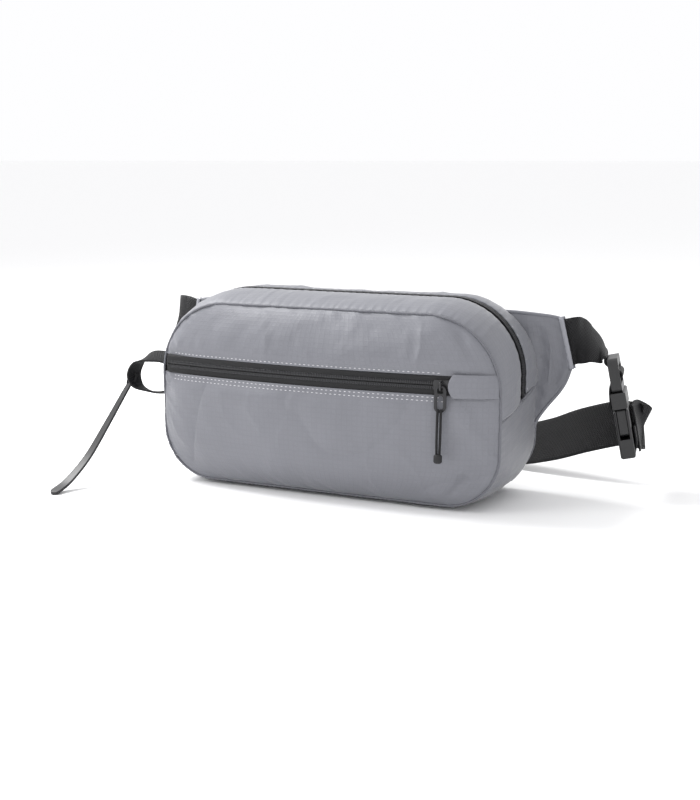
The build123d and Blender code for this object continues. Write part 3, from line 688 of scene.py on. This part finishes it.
# Through the ladder lock: distances down the buckle and out from its middle
lock_route = [
    (-3, -5), (2, -5.8), (5, -4.2), (9, 0), (11.5, 4.6), (14, 5.8),
    (16.5, 4.6), (19, 0), (22, -4.6), (27, -6.4), (34, -7.2), (42, -8.5),
]
for v, h in lock_route:
    short_stations.append((tuple(buckle_top + down * v + outward * h), tuple(-across)))
short = webbing("belt_short", short_stations, None, web_black, count=200, replaces=["strap_short"])
long_stations = [
    ((-163.0, 45.1, 123.2), (0.22, -0.05, 0.975)),
    ((-174.5, 47.58, 125.9), (0.22, -0.05, 0.975)),
    ((-186.5, 50.1, 128.7), (0.22, -0.05, 0.975)),
    ((-199.0, 56.5, 126.0), (0.24, 0.06, 0.96)),
    ((-209.0, 78.0, 104.0), (0.10, 0.30, 0.94)),
    ((-206.0, 102.0, 77.0), (-0.10, 0.45, 0.88)),
    ((-190.0, 124.0, 49.0), (-0.22, 0.42, 0.87)),
    ((-160.0, 138.0, 27.5), (-0.12, 0.38, 0.91)),
    ((-120.0, 144.0, 19.8), (-0.03, 0.28, 0.95)),
    ((-60.0, 145.0, 18.9), (0, 0.26, 0.96)),
    ((0.0, 142.0, 18.9), (0, 0.26, 0.96)),
    ((60.0, 134.0, 18.6), (0, 0.35, 0.93)),
    ((110.0, 122.0, 21.0), (0.02, 0.45, 0.89)),
    ((145.0, 113.0, 30.0), (-0.02, 0.38, 0.92)),
    ((175.0, 105.5, 42.0), (-0.05, 0.20, 0.97)),
    ((202.0, 101.0, 51.0), (-0.03, 0.06, 0.99)),
    ((212.0, 100.0, 52.8), (0, 0.02, 1)),
    ((221.0, 98.5, 52.8), (0, 0.02, 1)),
    ((228.0, 95.8, 52.0), (0, 0.02, 1)),
]
# Its end lies against the buckle, and a short piece goes round the lower half's bar
for v, u, h in ((60.0, 20, 11.5), (61.0, 10, 9.6), (61.5, -4, 9.0)):
    place = buckle_top + down * v - across * u + outward * h
    long_stations.append((tuple(place), tuple(-down)))
bar_stations = []
for v, h in ((58, 7.9), (64, 8.0), (70, 7.8), (74.5, 6.6), (77, 3.6), (77.2, 0)):
    bar_stations.append((tuple(buckle_top + down * v + outward * h), tuple(-across)))
webbing("belt_long_bar", bar_stations, "pack", web_black, width=34.0, count=60, cup=0.0)
webbing(
    "belt_long", long_stations, "pack", web_black, count=330, cup=0.9,
    replaces=["strap_long", "strap_long_end"],
)
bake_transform(short)

# ------------------------------------------------------------------ buckle
dress(plastic, "buckle_male", "buckle_female", "buckle_arm_front", "buckle_arm_rear")

# ------------------------------------------------------------------ side loop and pull tab
webbing(
    "side_loop_webbing",
    [
        ((-147.0, -34.0, 101.0), (0.1, 0.9, 0.35)),
        ((-158.0, -36.0, 104.5), (0.15, 0.9, 0.4)),
        ((-170.0, -38.5, 104.0), (0.3, 0.85, 0.45)),
        ((-180.0, -40.5, 98.0), (0.35, 0.9, 0.25)),
        ((-184.5, -41.5, 88.0), (0.25, 0.95, 0.1)),
        ((-181.0, -40.5, 78.5), (0.1, 0.97, -0.15)),
        ((-171.0, -38.0, 73.5), (-0.1, 0.95, -0.25)),
        ((-159.0, -36.0, 73.0), (-0.1, 0.95, -0.2)),
        ((-147.0, -34.0, 76.0), (0.0, 0.97, -0.1)),
    ],
    "pack",
    web_black,
    width=15.0,
    count=90,
    cup=0.3,
    replaces=["side_loop"],
)
tab_line = [(-186.5, -45.5, 80.5), (-189.5, -54, 69.0), (-194.5, -70, 48.0), (-199.0, -92, 24.0),
            (-202.5, -115, 8.0), (-204.0, -135, 1.4)]
t = np.linspace(0, 1, 80)
wide = 4.2 + 5.0 * t**1.2
wide *= np.sqrt(np.clip(1 - ((t - 0.94) / 0.065) ** 2, 0.02, 1)) ** (t > 0.94)
webbing("tab_strap", [(p, (0.95, -0.15, -0.05)) for p in tab_line], "tab", tab_soft,
        width=wide, thick=2.0, count=80, cup=0.0, replaces=["pull_tab"])
tie_middle = np.array([-185.4, -43.6, 84.0])
tie_long, tie_short = np.array([-0.35, -0.45, -0.82]) * 5.6, np.array([0.86, 0.2, -0.45]) * 2.8
tie = []
for a in np.linspace(0, 2 * pi, 36, endpoint=False):
    tie.append(tie_middle + tie_long * cos(a) + tie_short * sin(a))
tube("tab_tie", tie, 1.0, "tab", braid, 10, ["pull_tab_cord"], True)


# ------------------------------------------------------------------ pull cords
def pull_cord(prefix, side, points):
    """One free strand of a puller's cord, through points in metres."""
    curve = bpy.data.curves.new(f"{prefix}_cord_{side}", "CURVE")
    curve.dimensions = "3D"
    curve.bevel_depth = 0.001
    curve.bevel_resolution = 3
    curve.use_fill_caps = True
    s = curve.splines.new("NURBS")
    s.points.add(len(points) - 1)
    for target, p in zip(s.points, points):
        target.co = (*p, 1)
    s.order_u = 3
    s.use_endpoint_u = True
    s.resolution_u = 10
    obj = bpy.data.objects.new(f"{prefix}_cord_{side}", curve)
    bpy.context.scene.collection.objects.link(obj)
    own(obj, f"{prefix}_pull", braid, [f"{prefix}_pull_cord_{side}"])


for prefix in ("front", "main"):
    for side in ("left", "right"):
        mesh = nodes[f"{prefix}_pull_cord_{side}"].data
        co = np.array([v.co for v in mesh.vertices])
        z0, z1 = co[:, 2].min(), co[:, 2].max()
        cut = [co[np.abs(co[:, 2] - z) < 0.0035].mean(0) for z in (z1, (z0 + z1) / 2, z0)]
        cut[0][2], cut[1][2], cut[2][2] = z1, (z0 + z1) / 2, z0
        pull_cord(prefix, side, [tuple(c) for c in cut])

# ------------------------------------------------------------------ floor, light and camera
bpy.ops.mesh.primitive_plane_add(size=300, location=(0, 2.0, 0))
floor = bpy.context.object
floor.name = "floor"
floor_mat = bpy.data.materials.new("pale_floor")
floor_mat.use_nodes = True
floor_shader = floor_mat.node_tree.nodes["Principled BSDF"]
floor_shader.inputs["Base Color"].default_value = (0.96, 0.96, 0.96, 1)
floor_shader.inputs["Roughness"].default_value = 0.9
floor.data.materials.append(floor_mat)

world = bpy.data.worlds.new("studio")
bpy.context.scene.world = world
world.use_nodes = True
world.node_tree.nodes["Background"].inputs[0].default_value = (0.99, 0.99, 1.0, 1)
world.node_tree.nodes["Background"].inputs[1].default_value = 1.0
bpy.context.scene.view_settings.view_transform = "Standard"


def lamp(name, place, target, size, power):
    """A rectangular lamp that faces a point, in metres and watts."""
    light = bpy.data.lights.new(name, "AREA")
    light.shape = "RECTANGLE"
    light.size, light.size_y = size
    light.energy = power
    obj = bpy.data.objects.new(name, light)
    bpy.context.scene.collection.objects.link(obj)
    obj.location = place
    obj.rotation_euler = (Vector(target) - Vector(place)).to_track_quat("-Z", "Y").to_euler()


lamp("key", (-0.85, 0.05, 1.15), (0, 0, 0.06), (0.5, 0.5), 20)
lamp("fill", (0.9, -1.3, 0.9), (0, 0, 0.08), (1.2, 1.0), 3)
lamp("front", (-0.9, -1.1, 0.9), (0, 0, 0.08), (0.6, 0.5), 5)

CAMERA_PLACE = (456.2, -971.7, 271.8)
azimuth, elevation = radians(25.0), radians(10.5)
away = Vector((sin(azimuth) * cos(elevation), -cos(azimuth) * cos(elevation), sin(elevation)))
camera_data = bpy.data.cameras.new("camera")
camera_data.lens = 58.5
camera_data.sensor_width = 36
camera_data.sensor_fit = "AUTO"
camera = bpy.data.objects.new("camera", camera_data)
bpy.context.scene.collection.objects.link(camera)
camera.location = Vector(CAMERA_PLACE) * MM
camera.rotation_euler = away.to_track_quat("Z", "Y").to_euler()
bpy.context.scene.camera = camera
